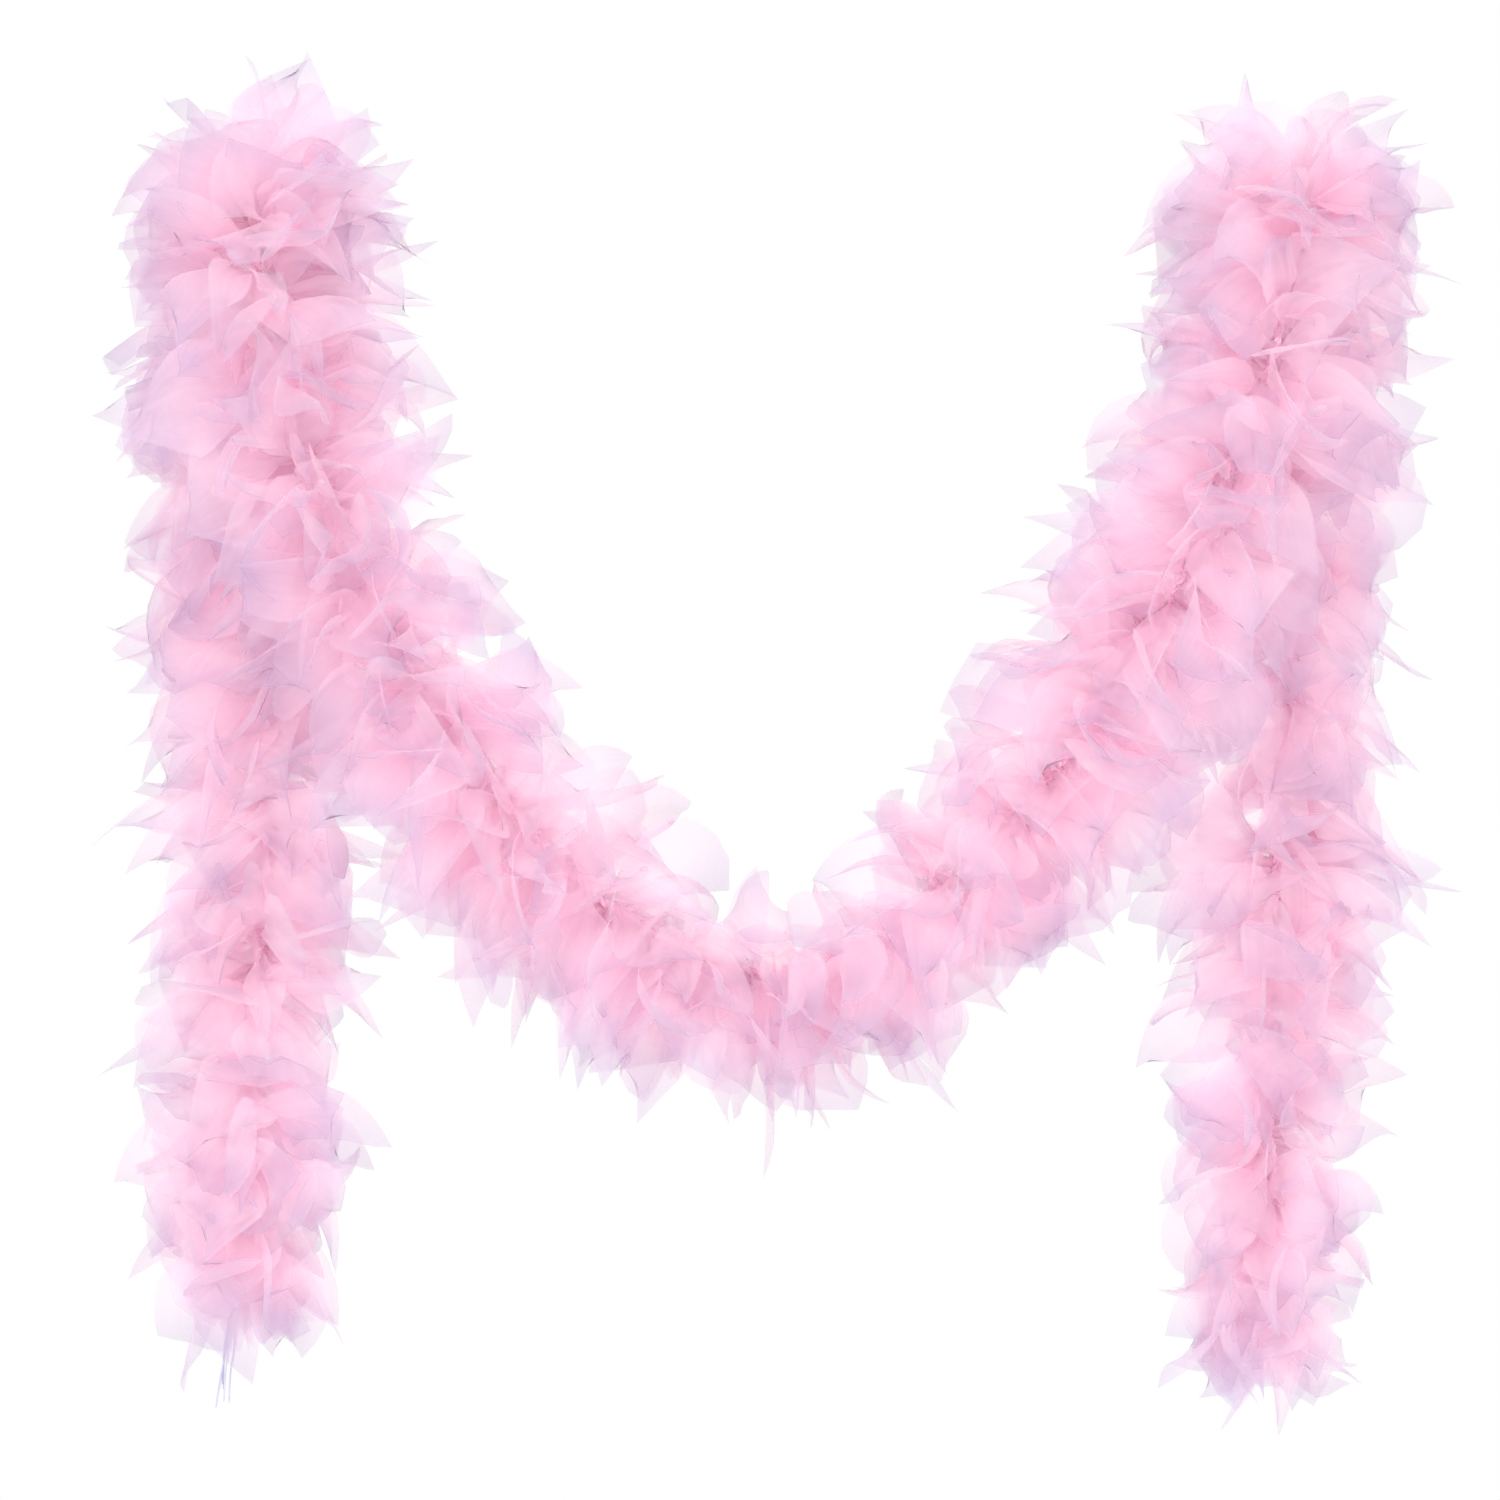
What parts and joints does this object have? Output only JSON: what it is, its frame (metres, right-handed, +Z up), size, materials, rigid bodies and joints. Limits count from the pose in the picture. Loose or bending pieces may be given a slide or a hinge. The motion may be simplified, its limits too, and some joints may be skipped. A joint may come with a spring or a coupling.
{
  "type": "boa",
  "caption": "Costume boa of gathered sheer organza petals stitched along a soft cord, draped over a rail with two hanging ends.",
  "frame": {"origin": "on the axis of the rail that the boa hangs over, at the middle of the left saddle", "axes": "+X along the rail from the left saddle to the right one, +Y to the back, behind the rail, +Z up"},
  "size_m": [0.5436, 0.1695, 0.5569],
  "materials": {
    "organza": "satin",
    "core_cord": "matte",
    "binding_thread": "satin",
    "core_threads": "matte"
  },
  "bodies": {
    "saddles": {"left_saddle_cord": "core_cord", "left_saddle_pad": "organza", "left_crown_tuft_1": "organza", "left_crown_tuft_2": "organza", "left_crown_tuft_3": "organza", "right_saddle_cord": "core_cord", "right_saddle_pad": "organza", "right_crown_tuft_1": "organza", "right_crown_tuft_2": "organza", "right_crown_tuft_3": "organza"},
    "swag": {"swag_cord": "core_cord", "swag_tuft_01": "organza", "swag_tuft_02": "organza", "swag_tuft_03": "organza", "swag_tuft_04": "organza", "swag_tuft_05": "organza", "swag_tuft_06": "organza", "swag_tuft_07": "organza", "swag_tuft_08": "organza", "swag_tuft_09": "organza", "swag_tuft_10": "organza", "swag_tuft_11": "organza", "swag_tuft_12": "organza", "swag_tuft_13": "organza", "swag_tuft_14": "organza", "swag_tuft_15": "organza", "swag_tuft_16": "organza", "swag_tuft_17": "organza"},
    "left_tail_upper": {"left_tail_upper_cord": "core_cord", "left_tuft_01": "organza", "left_tuft_02": "organza", "left_tuft_03": "organza", "left_tuft_04": "organza"},
    "left_tail_middle": {"left_tail_middle_cord": "core_cord", "left_tuft_05": "organza", "left_tuft_06": "organza", "left_tuft_07": "organza"},
    "left_tail_lower": {"left_tail_lower_cord": "core_cord", "left_tuft_08": "organza", "left_tuft_09": "organza", "left_tuft_10": "organza", "left_end_binding": "binding_thread", "left_core_threads": "core_threads"},
    "right_tail_upper": {"right_tail_upper_cord": "core_cord", "right_tuft_01": "organza", "right_tuft_02": "organza", "right_tuft_03": "organza", "right_tuft_04": "organza"},
    "right_tail_middle": {"right_tail_middle_cord": "core_cord", "right_tuft_05": "organza", "right_tuft_06": "organza", "right_tuft_07": "organza"},
    "right_tail_lower": {"right_tail_lower_cord": "core_cord", "right_tuft_08": "organza", "right_tuft_09": "organza", "right_tuft_10": "organza", "right_tuft_11": "organza", "right_end_binding": "binding_thread"}
  },
  "joints": [
    {"name": "swag_swing", "type": "hinge", "parent": "saddles", "child": "swag", "pos_m": [0, -0.018, 0], "axis": [-1, 0, 0], "range_deg": [0, 35]},
    {"name": "left_tail_swing", "type": "hinge", "parent": "saddles", "child": "left_tail_upper", "pos_m": [0, 0.018, 0], "axis": [1, 0, 0], "range_deg": [0, 40]},
    {"name": "left_tail_sway", "type": "hinge", "parent": "left_tail_upper", "child": "left_tail_middle", "pos_m": [0, 0.028, -0.185], "axis": [0, 1, 0], "range_deg": [0, 30]},
    {"name": "left_tail_bend", "type": "hinge", "parent": "left_tail_middle", "child": "left_tail_lower", "pos_m": [-0.004, 0.027, -0.322], "axis": [1, 0, 0], "range_deg": [-40, 40]},
    {"name": "right_tail_swing", "type": "hinge", "parent": "saddles", "child": "right_tail_upper", "pos_m": [0.422, 0.018, 0], "axis": [1, 0, 0], "range_deg": [0, 40]},
    {"name": "right_tail_sway", "type": "hinge", "parent": "right_tail_upper", "child": "right_tail_middle", "pos_m": [0.423, 0.028, -0.185], "axis": [0, -1, 0], "range_deg": [0, 30]},
    {"name": "right_tail_bend", "type": "hinge", "parent": "right_tail_middle", "child": "right_tail_lower", "pos_m": [0.416, 0.027, -0.322], "axis": [1, 0, 0], "range_deg": [-40, 40]}
  ]
}
